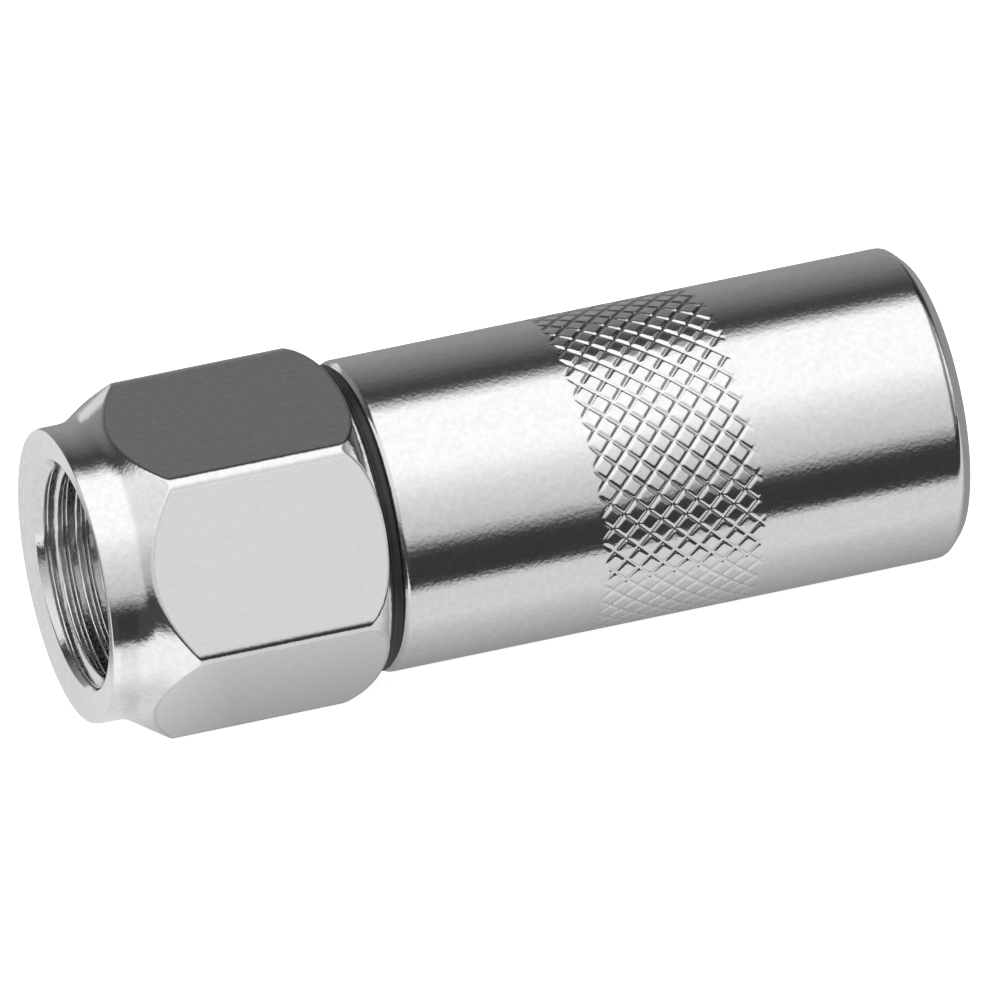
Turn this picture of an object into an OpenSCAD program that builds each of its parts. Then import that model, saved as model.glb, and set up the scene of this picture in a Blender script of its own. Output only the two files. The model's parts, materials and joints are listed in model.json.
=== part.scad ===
// Hydraulic grease coupler with a spanner hex, a knurled screw sleeve and four gripping jaws.
// The axis runs along +X from the inlet face (X = 0) to the gripping mouth. All sizes in mm.

/* [Hex adapter] */
// Width of the spanner hex across its flats
hex_af = 15; // [14.6:0.1:16]
// Radius of the rounded hex corners
hex_corner_r = 0.65; // [0.4:0.05:1]
// Length from the inlet face to the back of the hex
hex_len = 13.75; // [13:0.05:16]
// Outside diameter of the round neck at the inlet
neck_d = 14.2; // [13.6:0.1:14.4]
// Length of the round neck
neck_len = 1.6; // [1:0.05:2]
// Length of the chamfer at the rim of the neck
rim_chamfer = 0.3; // [0.2:0.05:0.4]
// Width of the flat rim that a hose end rests on
rim_flat = 0.1; // [0.1:0.05:0.3]
// Slope of the turned cone between the neck and the hex, from the axis
front_slope = 34; // [30:1:40]
// Radius of the turned rounding behind the hex
rear_round = 2.5; // [2:0.1:4]
// Length of the spigot that the sleeve screws on, from the sleeve's back edge
spigot_len = 7.85; // [6:0.05:8.5]

/* [Inlet thread] */
// Major diameter of the inlet thread
thread_d = 11.1; // [10.9:0.05:11.2]
// Pitch of the inlet thread
thread_pitch = 0.94; // [0.9:0.02:1]
// How deep the inlet face is dished inside its rim
dish_depth = 0.25; // [0.15:0.05:0.35]
// Diameter of the countersink at the bottom of the dish
countersink_d = 11.2; // [11:0.05:11.6]
// Slope of the countersink, from the axis
countersink_slope = 36; // [32:1:45]
// Depth of the threaded hole
thread_depth = 10.45; // [9.9:0.05:10.8]

/* [Sleeve] */
// Outside diameter of the sleeve
sleeve_d = 15; // [14.6:0.1:16]
// Length of the sleeve
sleeve_len = 28.55; // [28:0.05:32]
// Gap between the hex and the sleeve, filled by the black ring
collar_gap = 0.55; // [0.45:0.05:0.8]
// Chamfer at the sleeve's back edge
back_chamfer = 0.3; // [0.1:0.05:0.5]
// Chamfer at the sleeve's front edge
front_chamfer = 0.7; // [0.4:0.05:0.9]
// Bore that the piston slides in, as a share of the sleeve's diameter
bore_share = 0.72; // [0.71:0.005:0.73]
// Radial step from the bore up to the pitch line of the screw joint
joint_step = 0.275; // [0.25:0.025:0.35]
// Opening at the mouth
mouth_d = 8.6; // [8.4:0.05:8.8]
// Length of the straight part of the mouth
mouth_len = 0.7; // [0.5:0.05:0.9]
// Slope of the closing taper, from the axis
taper = 15; // [13:0.5:16]

/* [Jaws] */
// Diameter of the gripping lips when the jaws are closed
grip_d = 5.7; // [5.5:0.05:5.8]
// Length of the gripping lips
grip_len = 1; // [0.8:0.05:1.1]
// Diameter of the pocket for the nipple head
pocket_d = 7; // [6.9:0.05:7.1]
// Length of the jaws
jaw_len = 7; // [6.6:0.05:7.4]
// How far the jaws sit behind the sleeve's front face
jaw_recess = 0.5; // [0.3:0.05:0.6]
// Width of the slits between the jaws
jaw_slit = 0.5; // [0.3:0.05:0.7]
// Axial travel of the jaws and the piston
jaw_travel = 1.9; // [1.6:0.05:2]

/* [Piston and seal] */
// Length of the piston's guided part
piston_len = 5.6; // [5.2:0.1:6]
// Diameter of the grease passage through the piston and the seal
passage_d = 2; // [1.6:0.1:2.2]
// Depth of the piston's ring groove
ring_depth = 0.9; // [0.8:0.05:1]
// Length of the piston nose that carries the seal
nose_len = 2; // [1.8:0.1:2.2]
// How far the rubber seal stands out of the nose
seal_stand = 0.4; // [0.2:0.05:0.6]
// Thickness of the backing washer
washer_t = 0.6; // [0.4:0.05:0.8]
// Wire diameter of the piston spring
spring_wire = 0.9; // [0.7:0.05:1]
// Number of turns of the piston spring
spring_turns = 5; // [4:0.5:5]

/* [Check valve] */
// Diameter of the check ball
ball_d = 3.5; // [3.2:0.1:3.8]
// Diameter of the valve seat's hole
seat_d = 2.3; // [2:0.05:2.4]
// Diameter of the valve chamber
chamber_d = 5.2; // [5:0.1:5.4]
// Wire diameter of the check spring
check_wire = 0.35; // [0.25:0.05:0.4]
// Number of turns of the check spring
check_turns = 5; // [4:0.5:6]
// Thickness of the pressed retainer ring
retainer_t = 1; // [0.8:0.1:1.2]

/* [Fits] */
// Radial clearance of sliding pieces
slide_fit = 0.05; // [0.03:0.01:0.06]
// Clearance between pieces that rest on each other
rest_gap = 0.02; // [0.01:0.01:0.04]
// Clearance of the springs around what guides them
spring_fit = 0.5; // [0.4:0.05:0.6]

/* [Hidden] */
$fn = 96;
// how far a cutting shape runs past what it cuts
over = 1;
// broken edges and chamfers
edge = 0.2;
bevel = 0.3;
screw_chamfer = 0.4;
spigot_chamfer = 0.5;
// radii
neck_r = neck_d / 2;
rim_r = neck_r - rim_chamfer * tan(11);
dish_r = rim_r - rim_flat;
sleeve_r = sleeve_d / 2;
bore_r = sleeve_r * bore_share;
mouth_r = mouth_d / 2;
grip_r = grip_d / 2;
pocket_r = pocket_d / 2;
chamber_r = chamber_d / 2;
seat_r = seat_d / 2;
ball_r = ball_d / 2;
passage_r = passage_d / 2;
joint_r = bore_r + joint_step;
spigot_r = joint_r - slide_fit / 2;
nut_r = joint_r + slide_fit / 2;
// inlet thread, 60 degree profile
major_r = thread_d / 2;
minor_r = major_r - 0.5413 * thread_pitch;
countersink_r = countersink_d / 2;
thread_lead = 0.15 * thread_pitch;
countersink_depth = dish_depth + (countersink_r - minor_r) / tan(countersink_slope);
thread_start = countersink_depth + thread_lead;
thread_turns = floor((thread_depth - thread_start - thread_lead) / thread_pitch);
groove_w = 2 * (major_r - minor_r) * tan(30) + thread_pitch / 8;
// stations along the axis
x_sleeve = hex_len + collar_gap;
x_end = x_sleeve + sleeve_len;
x_spigot = x_sleeve + spigot_len;
x_taper_end = x_end - mouth_len;
x_taper = x_taper_end - (bore_r - mouth_r) / tan(taper);
x_jaw_front = x_end - jaw_recess;
x_jaw_back = x_jaw_front - jaw_len;
x_piston = x_jaw_back - rest_gap;
x_piston_back = x_piston - piston_len;
x_nose = x_piston + nose_len;
seat_back = 0.1;
x_seat = hex_len - seat_back;
x_ball = x_seat - seat_r + (ball_r + slide_fit) * sqrt(2);
x_retainer = x_spigot - 2 * retainer_t;
// jaws
jaw_lift = jaw_travel * tan(taper);
taper_fit = slide_fit / cos(taper);
shank_r = bore_r - jaw_lift - slide_fit;
x_shank = x_taper_end - (shank_r + taper_fit - mouth_r) / tan(taper);
lead_in = 0.5;
// piston and its seal
piston_r = bore_r - slide_fit;
nose_r = pocket_r - 2 * slide_fit;
nose_wall = 0.7;
cup_r = nose_r - nose_wall;
x_cup = x_piston - washer_t;
ring_r = ring_depth / 2;
ring_w = 3.5 * ring_r;
ring_floor_r = piston_r - ring_depth;
x_ring = x_piston_back + piston_len / 2;
guide_len = 2;
guide_r = 3.2;
spring_r = guide_r + spring_fit + spring_wire / 2;
check_r = seat_r + slide_fit;
x_check = x_ball + sqrt(ball_r * ball_r - check_r * check_r) + check_wire / 2 + slide_fit;
// names of the sub-parts

// Turns the drawing axis Z into the coupler's axis X.
module along_x() {
  multmatrix([[0, 0, 1, 0], [1, 0, 0, 0], [0, 1, 0, 0], [0, 0, 0, 1]]) children();
}

// Solid of revolution about X from [radius, station] points.
module turned(points) {
  along_x() rotate_extrude() polygon(points);
}

// Hexagon with rounded corners; one corner points along +Y.
function hex_points(af, r) = [
  for (i = [0 : 5], k = [-3 : 3])
    let (c = (af / 2 - r) / cos(30), a = 60 * i)
    [c * cos(a) + r * cos(a + 10 * k), c * sin(a) + r * sin(a + 10 * k)]
];

// Steps of the inlet thread as rings at the real pitch.
function thread_steps(i) = let (x = thread_start + (i + 0.5) * thread_pitch) [
  [minor_r, x - groove_w / 2],
  [major_r, x - thread_pitch / 16],
  [major_r, x + thread_pitch / 16],
  [minor_r, x + groove_w / 2]
];

// Centre line of a spring with closed end turns, as station along the axis at turn t.
function coil_station(t, turns, lead, length) =
  let (flat = lead * 1.06, rise = (length - 2 * flat) / (turns - 2))
  t < 1 ? flat * t : t > turns - 1 ? length - flat * (turns - t) : flat + rise * (t - 1);

// Round wire wound into a spring about X, with its wire centre from x0 to x0 + length.
module coil(r, wire, turns, x0, length) {
  per_turn = 18;
  sides = 8;
  n = round(turns * per_turn);
  points = [
    for (i = [0 : n], k = [0 : sides - 1])
      let (a = 360 * i / per_turn, b = 360 * k / sides, q = r + wire / 2 * cos(b))
      [x0 + coil_station(i / per_turn, turns, wire, length) + wire / 2 * sin(b), q * cos(a), q * sin(a)]
  ];
  skin = [
    for (i = [0 : n - 1], k = [0 : sides - 1])
      let (p = i * sides + k, s = i * sides + (k + 1) % sides)
      each [[p, s, s + sides], [p, s + sides, p + sides]]
  ];
  first = [for (k = [0 : sides - 1]) sides - 1 - k];
  last = [for (k = [0 : sides - 1]) n * sides + k];
  polyhedron(points, concat(skin, [first], [last]), convexity = 8);
}

// Hex body with the inlet thread, the valve chamber and the spigot for the sleeve.
module hex_adapter() {
  tip_r = hex_af / 2 / cos(30);
  far_r = tip_r + over;
  back_r = hex_af / 2 - slide_fit;
  round_end = acos((back_r - tip_r + rear_round) / rear_round);
  x_round = hex_len - rear_round * sin(round_end);
  round_steps = 8;
  outline = concat(
    [
      [0, 0],
      [rim_r, 0],
      [neck_r, rim_chamfer],
      [neck_r, neck_len],
      [far_r, neck_len + (far_r - neck_r) / tan(front_slope)],
      [far_r, x_round]
    ],
    [
      for (i = [0 : round_steps])
        let (a = round_end * i / round_steps)
        [tip_r - rear_round * (1 - cos(a)), x_round + rear_round * sin(a)]
    ],
    [[0, hex_len]]
  );
  drill_end = thread_depth + (minor_r - seat_r) / tan(59);
  hollow = concat(
    [
      [0, -over],
      [dish_r, -over],
      [dish_r, 0],
      [countersink_r, dish_depth],
      [minor_r, countersink_depth]
    ],
    [for (i = [0 : thread_turns - 1]) each thread_steps(i)],
    [
      [minor_r, thread_depth],
      [seat_r, drill_end],
      [seat_r, x_seat],
      [chamber_r, x_seat + chamber_r - seat_r],
      [chamber_r, x_spigot + over],
      [0, x_spigot + over]
    ]
  );
  spigot = [
    [0, hex_len - over],
    [spigot_r, hex_len - over],
    [spigot_r, x_spigot - spigot_chamfer],
    [spigot_r - spigot_chamfer, x_spigot],
    [0, x_spigot]
  ];
  color("silver") difference() {
    union() {
      intersection() {
        along_x() linear_extrude(hex_len) polygon(hex_points(hex_af, hex_corner_r));
        turned(outline);
      }
      turned(spigot);
    }
    turned(hollow);
  }
}

// Black ring that closes the gap between the hex and the sleeve.
module collar_seal() {
  outer_r = sleeve_r - 2 * slide_fit;
  inner_r = spigot_r + slide_fit;
  crown = collar_gap / 4;
  a = hex_len + rest_gap;
  b = x_sleeve - rest_gap;
  color("dimgray") turned([
    [inner_r, a], [outer_r - crown, a], [outer_r, a + crown],
    [outer_r, b - crown], [outer_r - crown, b], [inner_r, b]
  ]);
}

// Outer sleeve: screw joint at the back, piston bore, closing taper and mouth at the front.
module knurled_sleeve() {
  step = x_spigot + spigot_chamfer;
  color("gainsboro") turned([
    [nut_r + screw_chamfer, x_sleeve],
    [sleeve_r - back_chamfer, x_sleeve],
    [sleeve_r, x_sleeve + back_chamfer],
    [sleeve_r, x_end - front_chamfer],
    [sleeve_r - front_chamfer, x_end],
    [mouth_r + bevel, x_end],
    [mouth_r, x_end - bevel],
    [mouth_r, x_taper_end],
    [bore_r, x_taper],
    [bore_r, step + nut_r - bore_r],
    [nut_r, step],
    [nut_r, x_sleeve + screw_chamfer]
  ]);
}

// Quarter jaw; the turn is measured from +Y towards +Z.
module jaw(turn) {
  front_r = mouth_r - taper_fit - (x_jaw_front - x_taper_end) * tan(taper);
  x_lip = x_jaw_front - lead_in - grip_len;
  profile = [
    [pocket_r, x_jaw_back],
    [shank_r - edge, x_jaw_back],
    [shank_r, x_jaw_back + edge],
    [shank_r, x_shank],
    [front_r, x_jaw_front],
    [grip_r + lead_in, x_jaw_front],
    [grip_r, x_jaw_front - lead_in],
    [grip_r, x_lip],
    [pocket_r, x_lip - (pocket_r - grip_r)]
  ];
  color("lightsteelblue") along_x() intersection() {
    rotate_extrude() polygon(profile);
    rotate([0, 0, turn]) translate([jaw_slit / 2, jaw_slit / 2, x_jaw_back - over])
      cube([bore_r, bore_r, jaw_len + 2 * over]);
  }
}

// Jaw in the +Y +Z quarter.
module jaw_1() {
  jaw(0);
}

// Jaw in the -Y +Z quarter.
module jaw_2() {
  jaw(90);
}

// Jaw in the -Y -Z quarter.
module jaw_3() {
  jaw(180);
}

// Jaw in the +Y -Z quarter.
module jaw_4() {
  jaw(270);
}

// Sliding piston with its ring groove, spring guide and the cup for the seal.
module seal_piston() {
  color("silver") turned([
    [passage_r, x_piston_back - guide_len],
    [guide_r - bevel, x_piston_back - guide_len],
    [guide_r, x_piston_back - guide_len + bevel],
    [guide_r, x_piston_back],
    [piston_r - edge, x_piston_back],
    [piston_r, x_piston_back + edge],
    [piston_r, x_ring - ring_w / 2],
    [ring_floor_r, x_ring - ring_w / 2],
    [ring_floor_r, x_ring + ring_w / 2],
    [piston_r, x_ring + ring_w / 2],
    [piston_r, x_piston],
    [nose_r, x_piston],
    [nose_r, x_nose - edge],
    [nose_r - edge, x_nose],
    [cup_r, x_nose],
    [cup_r, x_cup],
    [passage_r, x_cup]
  ]);
}

// Rubber ring in the piston groove.
module piston_o_ring() {
  color("dimgray") along_x() translate([0, 0, x_ring]) rotate_extrude()
    translate([ring_floor_r + ring_r + rest_gap, 0]) circle(r = ring_r, $fn = 48);
}

// Rubber face seal with a dished front for the nipple head.
module nipple_seal() {
  seal_r = cup_r - rest_gap;
  front = x_nose + seal_stand;
  color("dimgray") turned([
    [passage_r, x_piston + rest_gap],
    [seal_r, x_piston + rest_gap],
    [seal_r, x_nose],
    [seal_r - seal_stand, front],
    [seal_r - seal_stand - bevel, front],
    [passage_r, front - 2 * seal_stand]
  ]);
}

// Brass washer that backs the seal.
module seal_washer() {
  color("goldenrod") turned([
    [passage_r, x_cup + rest_gap],
    [cup_r - rest_gap, x_cup + rest_gap],
    [cup_r - rest_gap, x_piston],
    [passage_r, x_piston]
  ]);
}

// Spring between the spigot's end and the piston.
module piston_spring() {
  start = x_spigot + slide_fit + spring_wire / 2;
  color("gray") coil(spring_r, spring_wire, spring_turns, start,
    x_piston_back - x_spigot - 2 * slide_fit - spring_wire);
}

// Ball that stops grease flowing back.
module check_ball() {
  color("lightgray") translate([x_ball, 0, 0]) sphere(r = ball_r);
}

// Small spring that holds the ball on its seat.
module check_spring() {
  color("gray") coil(check_r, check_wire, check_turns, x_check,
    x_retainer - rest_gap - check_wire / 2 - x_check);
}

// Pressed ring with a grease hole that backs the check spring.
module valve_retainer() {
  outer_r = chamber_r - rest_gap;
  hole_r = check_r - check_wire;
  color("goldenrod") turned([
    [hole_r, x_retainer],
    [outer_r, x_retainer],
    [outer_r, x_retainer + retainer_t - edge],
    [outer_r - edge, x_retainer + retainer_t],
    [hole_r, x_retainer + retainer_t]
  ]);
}

hex_adapter();
collar_seal();
knurled_sleeve();
jaw_1();
jaw_2();
jaw_3();
jaw_4();
seal_piston();
piston_o_ring();
nipple_seal();
seal_washer();
piston_spring();
check_ball();
check_spring();
valve_retainer();
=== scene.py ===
"""Hydraulic grease coupler: plated hex adapter, knurled screw sleeve, sealing piston and four gripping jaws.

The coupler lies along +X, from the threaded inlet at X = 0 to the gripping mouth. All lengths are in metres.
"""

import json
import math

import bmesh
import bpy
import numpy as np
from bpy.props import FloatProperty, FloatVectorProperty, IntProperty, PointerProperty
from mathutils import Matrix, Vector


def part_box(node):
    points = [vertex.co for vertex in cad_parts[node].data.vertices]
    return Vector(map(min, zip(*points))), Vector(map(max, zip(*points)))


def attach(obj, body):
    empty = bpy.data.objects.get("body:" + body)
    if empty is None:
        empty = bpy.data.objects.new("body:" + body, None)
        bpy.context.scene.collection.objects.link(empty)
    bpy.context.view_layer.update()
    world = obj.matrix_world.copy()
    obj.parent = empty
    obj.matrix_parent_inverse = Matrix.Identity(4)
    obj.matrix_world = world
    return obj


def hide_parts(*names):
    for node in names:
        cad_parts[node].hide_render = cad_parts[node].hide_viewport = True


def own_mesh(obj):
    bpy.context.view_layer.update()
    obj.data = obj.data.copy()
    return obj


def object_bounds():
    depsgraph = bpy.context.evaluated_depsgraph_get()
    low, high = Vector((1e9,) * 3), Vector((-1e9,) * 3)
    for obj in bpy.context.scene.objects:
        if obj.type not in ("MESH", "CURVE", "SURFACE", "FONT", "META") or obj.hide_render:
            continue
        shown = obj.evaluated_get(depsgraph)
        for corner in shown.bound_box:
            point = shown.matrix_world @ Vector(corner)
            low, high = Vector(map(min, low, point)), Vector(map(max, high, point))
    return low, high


bl_info = {
    "name": "Grease coupler",
    "version": (1, 0, 0),
    "blender": (4, 5, 0),
    "location": "3D View > Sidebar > Coupler",
    "description": "Builds a plated grease coupler with its knurled sleeve, jaws, piston and check valve",
    "category": "Object",
}

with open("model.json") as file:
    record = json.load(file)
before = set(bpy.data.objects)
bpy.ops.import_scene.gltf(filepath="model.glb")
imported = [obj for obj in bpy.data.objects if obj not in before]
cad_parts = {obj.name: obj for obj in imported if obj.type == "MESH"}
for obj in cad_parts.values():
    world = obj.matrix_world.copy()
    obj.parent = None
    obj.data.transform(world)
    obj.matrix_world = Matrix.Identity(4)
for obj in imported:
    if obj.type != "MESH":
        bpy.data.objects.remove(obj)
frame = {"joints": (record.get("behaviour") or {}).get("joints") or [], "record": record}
CAD_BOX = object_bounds()
MM = 0.001
FULL_TURN = 2 * math.pi
SIXTH = math.pi / 3
TWELFTH = math.pi / 6
# Depth of a 60 degree thread with flat crests, as a share of its pitch
THREAD_DEPTH = 0.5413
# Half of the point angle of the drill that bored the inlet
DRILL_POINT = math.radians(59)
JOINTS = {joint["name"]: joint for joint in frame["joints"]}
MOUNTS = {mount["name"]: mount for mount in frame["record"]["mounts"]}


def span(node):
    """First and last station of a CAD node along the axis, and its outer radius across +Z."""
    low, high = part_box(node)
    return low.x, high.x, high.z


def travel(joint):
    """Longest way that a sliding joint goes from rest."""
    return JOINTS[joint]["range_m"][1]


def mount_size(mount, size):
    """Size of a mount, which its record states in millimetres."""
    return MOUNTS[mount]["dims"][size] * MM


# Properties that a user would change


def length(name, description, default):
    """Property for a length in metres."""
    return FloatProperty(
        name=name, description=description, default=default, min=0, unit="LENGTH", precision=5
    )


def slope(name, description, degrees):
    """Property for an angle, stated in degrees."""
    return FloatProperty(
        name=name, description=description, default=math.radians(degrees), unit="ROTATION", subtype="ANGLE"
    )


def number(name, description, default):
    """Property for a plain share or strength."""
    return FloatProperty(name=name, description=description, default=default, min=0)


def colour(name, description, *shades):
    """Property for a linear colour."""
    return FloatVectorProperty(
        name=name, description=description, default=shades, size=3, min=0, max=1, subtype="COLOR"
    )


class AdapterSizes(bpy.types.PropertyGroup):
    """Sizes of the hex adapter with its inlet thread, spigot and valve chamber."""

    flats: length("Across flats", "Width of the hex across its flats", 2 * span("hex_adapter")[2])
    corner: length("Corner radius", "Radius of the rounded hex corners", 0.65 * MM)
    hex_end: length("Hex end", "Station of the back of the hex", 13.75 * MM)
    neck: length("Neck radius", "Outer radius of the round neck", 7.1 * MM)
    neck_end: length("Neck end", "Station where the neck meets the front cone", 1.6 * MM)
    back: length("Back radius", "Radius of the back face", 7.45 * MM)
    rim: length("Rim radius", "Outer radius of the flat rim", 7.04 * MM)
    rim_chamfer: length("Rim chamfer", "Length of the chamfer at the rim", 0.3 * MM)
    dish: length("Dish radius", "Radius of the dish at the rim", 6.94 * MM)
    dish_depth: length("Dish depth", "Depth of the dished inlet face", 0.25 * MM)
    front_slope: slope("Front slope", "Slope of the front cone, from the axis", 34)
    rear_round: length("Rear rounding", "Radius of the rounding behind the hex", 2.5 * MM)
    pitch: length("Inlet pitch", "Pitch of the inlet thread", 0.94 * MM)
    screw_pitch: length("Screw pitch", "Pitch of the screw joint", 1.0 * MM)
    minor: length("Minor radius", "Crest radius of the inlet thread", mount_size("inlet_thread", "r_mm"))
    thread_end: length("Thread depth", "Depth of the threaded hole", 10.45 * MM)
    thread_turn: number("Thread turn", "Where the inlet thread starts, in turns round the hole", 0.5)
    countersink: length("Countersink radius", "Radius of the countersink at the bottom of the dish", 5.6 * MM)
    countersink_slope: slope("Countersink slope", "Slope of the countersink, from the axis", 36)
    spigot: length("Spigot radius", "Outer radius of the threaded spigot", 5.65 * MM)
    spigot_end: length("Spigot end", "Station of the end of the spigot", span("hex_adapter")[1])
    chamber: length("Chamber radius", "Radius of the valve chamber", 2.6 * MM)
    seat: length("Seat radius", "Radius of the hole in the valve seat", 1.15 * MM)
    seat_start: length("Seat start", "Station where the seat cone begins", 13.65 * MM)


class SleeveSizes(bpy.types.PropertyGroup):
    """Sizes of the outer sleeve and its knurl band."""

    start: length("Start", "Station of the back edge", span("knurled_sleeve")[0])
    end: length("End", "Station of the front face", span("knurled_sleeve")[1])
    radius: length("Radius", "Outer radius", span("knurled_sleeve")[2])
    back_chamfer: length("Back chamfer", "Chamfer at the back edge", 0.3 * MM)
    front_chamfer: length("Front chamfer", "Chamfer at the front edge", 0.7 * MM)
    nut: length("Screw radius", "Radius of the screw bore", 5.7 * MM)
    nut_end: length("Screw end", "Station where the screw bore ends", 22.65 * MM)
    bore: length("Bore radius", "Radius of the piston bore", 5.4 * MM)
    mouth: length("Mouth radius", "Radius of the opening at the front", 4.3 * MM)
    mouth_length: length("Mouth length", "Length of the straight mouth", 0.7 * MM)
    taper: slope("Taper", "Slope of the closing taper, from the axis", 15)
    grooves: IntProperty(name="Grooves", description="Knurl grooves of each hand", default=39, min=3)
    cells: IntProperty(name="Cells", description="Mesh columns for each groove", default=16, min=4)
    knurl_start: length("Knurl start", "Station where the knurl band begins", 24.2 * MM)
    knurl_end: length("Knurl end", "Station where the knurl band ends", 32.3 * MM)
    knurl_depth: length("Knurl depth", "Depth of the grooves", 0.1 * MM)
    knurl_width: length("Knurl width", "Width of the grooves", 0.21 * MM)
    feather: length("Feather", "Length over which the grooves run out", 0.35 * MM)


class GripSizes(bpy.types.PropertyGroup):
    """Sizes of the jaws, the piston, its seals, the springs and the check valve."""

    fit: length("Fit", "Radial clearance of sliding pieces", 0.05 * MM)
    grip: length("Grip radius", "Radius of the closed jaw lips", mount_size("nipple_grip", "r_mm"))
    lip: length("Lip length", "Length of the jaw lips", mount_size("nipple_grip", "length_mm"))
    lead_in: length("Lead-in", "Cone in front of the jaw lips", 0.5 * MM)
    pocket: length("Pocket radius", "Radius of the pocket for the nipple head", 3.5 * MM)
    slit: length("Slit", "Width of the slits between the jaws", 0.5 * MM)
    passage: length("Passage radius", "Radius of the grease passage", 1.0 * MM)
    guide: length("Guide radius", "Radius of the piston's spring guide", 3.2 * MM)
    guide_length: length("Guide length", "Length of the spring guide", 2.0 * MM)
    nose: length("Nose radius", "Radius of the piston nose", 3.4 * MM)
    ring_floor: length("Groove floor", "Radius of the floor of the ring groove", 4.45 * MM)
    ring_wire: length("Ring section", "Radius of the rubber ring's section", 0.45 * MM)
    spring_wire: length("Spring wire", "Wire diameter of the piston spring", 0.9 * MM)
    check_wire: length("Check spring wire", "Wire diameter of the check spring", 0.35 * MM)
    turns: IntProperty(name="Spring turns", description="Turns of each spring", default=5, min=3)
    retainer_hole: length("Retainer hole", "Radius of the hole in the retainer", 0.85 * MM)


class FinishColours(bpy.types.PropertyGroup):
    """Colours and roughness of the finishes."""

    plate: colour("Plate", "Bright nickel plate", 0.80, 0.80, 0.80)
    satin: colour("Satin plate", "Nickel plate on the hex flats", 1.0, 1.0, 1.0)
    plate_gloss: number("Plate roughness", "Roughness of the polished plate", 0.12)
    satin_gloss: number("Satin roughness", "Roughness of the plated hex flats", 0.21)
    rubber: colour("Rubber", "Black rubber", 0.016, 0.016, 0.016)
    jaw: colour("Jaw steel", "Hardened dark steel", 0.42, 0.42, 0.43)
    steel: colour("Turned steel", "Bare turned steel", 0.58, 0.58, 0.58)
    wire: colour("Spring wire", "Drawn spring wire", 0.50, 0.50, 0.52)
    ball: colour("Ball", "Polished bearing ball", 0.75, 0.75, 0.76)
    brass: colour("Brass", "Plain turned brass", 0.72, 0.55, 0.25)


class StageSettings(bpy.types.PropertyGroup):
    """Camera, light and floor."""

    azimuth: slope("Azimuth", "Where the camera stands, round the coupler", -19.33)
    elevation: slope("Elevation", "How far the camera stands above the horizon", 36.05)
    distance: length("Distance", "From the camera to the coupler", 1.6)
    frame_width: length("Frame width", "Width of the picture at the coupler", 47.19 * MM)
    aim_right: length("Aim right", "Picture centre, to the right of the inlet face", 20.434 * MM)
    aim_up: length("Aim up", "Picture centre, above the inlet face", 3.607 * MM)
    aim_depth: length("Aim depth", "Picture centre, behind the inlet face", 5.74 * MM)
    floor: colour("Floor", "Pale floor", 0.9, 0.9, 0.9)
    lamp: FloatProperty(
        name="Lamp", description="Power of the overhead lamp", default=0.8, min=0, unit="POWER"
    )


# Node building


class Wiring:
    """Adds nodes to a tree and feeds their inputs with sockets or plain values."""

    def __init__(self, tree):
        self.tree = tree

    def add(self, kind, **settings):
        node = self.tree.nodes.new(kind)
        for key, value in settings.items():
            setattr(node, key, value)
        return node

    def feed(self, socket, value):
        if isinstance(value, bpy.types.NodeSocket):
            self.tree.links.new(value, socket)
        else:
            socket.default_value = value

    def math(self, operation, *values):
        node = self.add("ShaderNodeMath", operation=operation)
        for socket, value in zip(node.inputs, values):
            self.feed(socket, value)
        return node.outputs[0]

    def ramp(self, value, low, high, to_low=0.0, to_high=1.0):
        """Clamped straight ramp from low to high."""
        node = self.add("ShaderNodeMapRange")
        for socket, given in zip(node.inputs, (value, low, high, to_low, to_high)):
            self.feed(socket, given)
        return node.outputs["Result"]


def new_tree(name, inputs):
    """Geometry tree with named inputs, and its wiring, input node and output node."""
    tree = bpy.data.node_groups.new(name, "GeometryNodeTree")
    for label, kind in inputs:
        tree.interface.new_socket(label, in_out="INPUT", socket_type="NodeSocket" + kind)
    tree.interface.new_socket("Geometry", in_out="OUTPUT", socket_type="NodeSocketGeometry")
    wiring = Wiring(tree)
    return tree, wiring, wiring.add("NodeGroupInput"), wiring.add("NodeGroupOutput")


def close_tree(wiring, geometry, given, result):
    """Shades the geometry smooth, realizes it and gives it its material."""
    smooth = wiring.add("GeometryNodeSetShadeSmooth")
    real = wiring.add("GeometryNodeRealizeInstances")
    painted = wiring.add("GeometryNodeSetMaterial")
    wiring.feed(smooth.inputs["Geometry"], geometry)
    wiring.feed(real.inputs["Geometry"], smooth.outputs[0])
    wiring.feed(painted.inputs["Geometry"], real.outputs[0])
    wiring.feed(painted.inputs["Material"], given.outputs["Material"])
    wiring.feed(result.inputs["Geometry"], painted.outputs[0])


def polar(wiring):
    """Station, radius and turns round the axis of each point, with its Y and Z."""
    place = wiring.add("GeometryNodeInputPosition")
    parts = wiring.add("ShaderNodeSeparateXYZ")
    wiring.feed(parts.inputs[0], place.outputs[0])
    x, y, z = parts.outputs
    squares = [wiring.math("MULTIPLY", side, side) for side in (y, z)]
    radius = wiring.math("SQRT", wiring.math("ADD", *squares))
    turn = wiring.math("DIVIDE", wiring.math("ARCTAN2", z, y), FULL_TURN)
    return x, y, z, radius, turn


def set_radius(wiring, geometry, selection, x, y, z, radius, new_radius):
    """Moves the selected points straight in or out to a new radius."""
    scale = wiring.math("DIVIDE", new_radius, radius)
    place = wiring.add("ShaderNodeCombineXYZ")
    wiring.feed(place.inputs[0], x)
    wiring.feed(place.inputs[1], wiring.math("MULTIPLY", y, scale))
    wiring.feed(place.inputs[2], wiring.math("MULTIPLY", z, scale))
    move = wiring.add("GeometryNodeSetPosition")
    wiring.feed(move.inputs["Geometry"], geometry)
    wiring.feed(move.inputs["Selection"], selection)
    wiring.feed(move.inputs["Position"], place.outputs[0])
    return move.outputs[0]


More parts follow.
